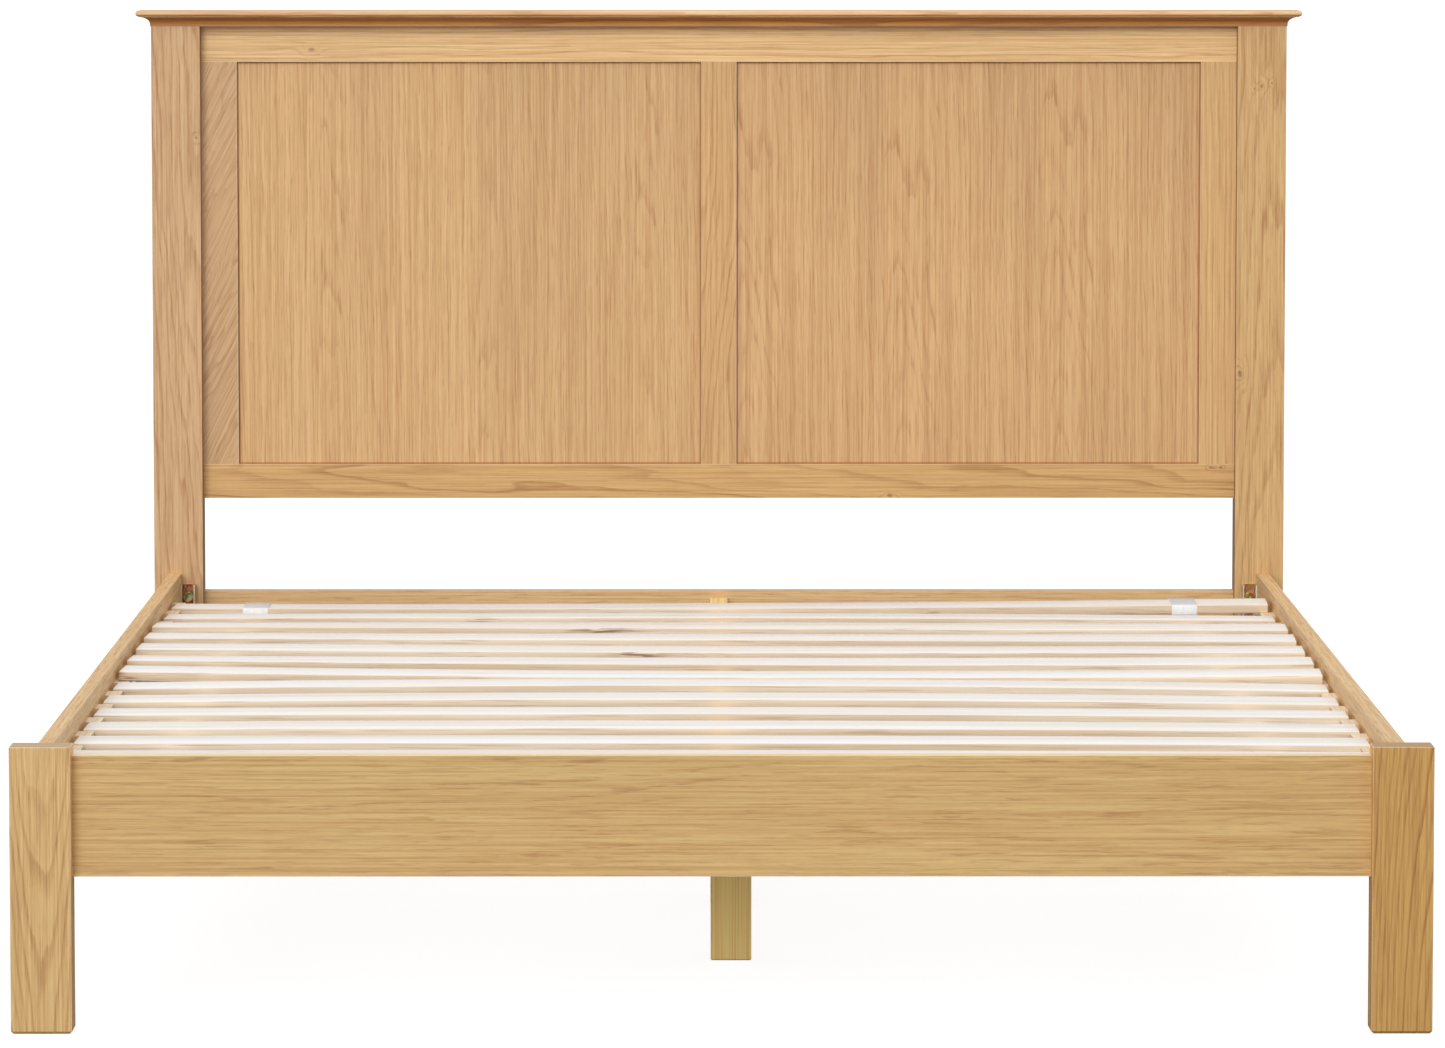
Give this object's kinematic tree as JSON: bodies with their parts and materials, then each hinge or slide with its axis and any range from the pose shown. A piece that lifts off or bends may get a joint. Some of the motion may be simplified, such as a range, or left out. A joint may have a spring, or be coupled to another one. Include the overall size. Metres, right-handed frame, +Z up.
{
  "type": "double bed frame",
  "caption": "Timber bed frame: framed and panelled headboard under a moulded cap, low foot rail between square posts, side rails, loose slatted base and centre support legs.",
  "frame": {"origin": "on the floor under the middle of the frame", "axes": "+X to the right as seen from the foot end, +Y from the foot end to the headboard, +Z up"},
  "size_m": [1.622, 2.115, 1.112],
  "materials": {
    "solid_oak": "clear satin lacquer over solid oak, growth rings and ray fleck, eased edges",
    "oak_veneer_upright": "clear satin lacquer over upright oak veneer leaves",
    "oak_veneer_long": "clear satin lacquer over oak veneer laid along the rail",
    "poplar_slat": "bare planed poplar, nearly white faces with tan edges, small knots and dark streaks",
    "ledger_pine": "bare planed softwood",
    "pine": "clear lacquered pine with upright grain",
    "beech_dowel": "bare fluted beech",
    "yellow_zinc": "yellow passivated zinc with a faint red and green bloom",
    "bright_zinc": "bright zinc",
    "staple_wire": "bright wire",
    "webbing": "white woven polyester webbing"
  },
  "bodies": {
    "frame": {"beam_hanger_foot": "bright_zinc", "beam_hanger_head": "bright_zinc", "bracket_bolts": "yellow_zinc", "bracket_screws": "yellow_zinc", "cap_dowels": "beech_dowel", "centre_beam": "pine", "centre_leg_foot": "pine", "centre_leg_head": "pine", "centre_leg_middle": "pine", "corner_bracket_foot_left": "yellow_zinc", "corner_bracket_foot_right": "yellow_zinc", "corner_bracket_head_left": "yellow_zinc", "corner_bracket_head_right": "yellow_zinc", "foot_post_left": "solid_oak", "foot_post_right": "solid_oak", "foot_rail": "oak_veneer_long", "hanger_screws": "bright_zinc", "headboard_bottom_rail": "solid_oak", "headboard_cap": "solid_oak", "headboard_lower_rail": "oak_veneer_long", "headboard_muntin": "solid_oak", "headboard_panel_left": "oak_veneer_upright", "headboard_panel_right": "oak_veneer_upright", "headboard_post_left": "solid_oak", "headboard_post_right": "solid_oak", "headboard_stile_left": "solid_oak", "headboard_stile_right": "solid_oak", "headboard_top_rail": "solid_oak", "ledger_screws": "bright_zinc", "leg_bolts": "bright_zinc", "leg_nuts": "bright_zinc", "side_rail_left": "oak_veneer_long", "side_rail_right": "oak_veneer_long", "slat_ledger_left": "ledger_pine", "slat_ledger_right": "ledger_pine", "threaded_inserts": "yellow_zinc"},
    "slat_roll": {"slat_01": "poplar_slat", "slat_02": "poplar_slat", "slat_03": "poplar_slat", "slat_04": "poplar_slat", "slat_05": "poplar_slat", "slat_06": "poplar_slat", "slat_07": "poplar_slat", "slat_08": "poplar_slat", "slat_09": "poplar_slat", "slat_10": "poplar_slat", "slat_11": "poplar_slat", "slat_12": "poplar_slat", "slat_13": "poplar_slat", "webbing_left": "webbing", "webbing_right": "webbing", "webbing_staples": "staple_wire"}
  },
  "joints": [
    {"name": "slat_roll_lift", "type": "slide", "parent": "frame", "child": "slat_roll", "axis": [0, 0, 1], "range_m": [0, 0.3]}
  ]
}
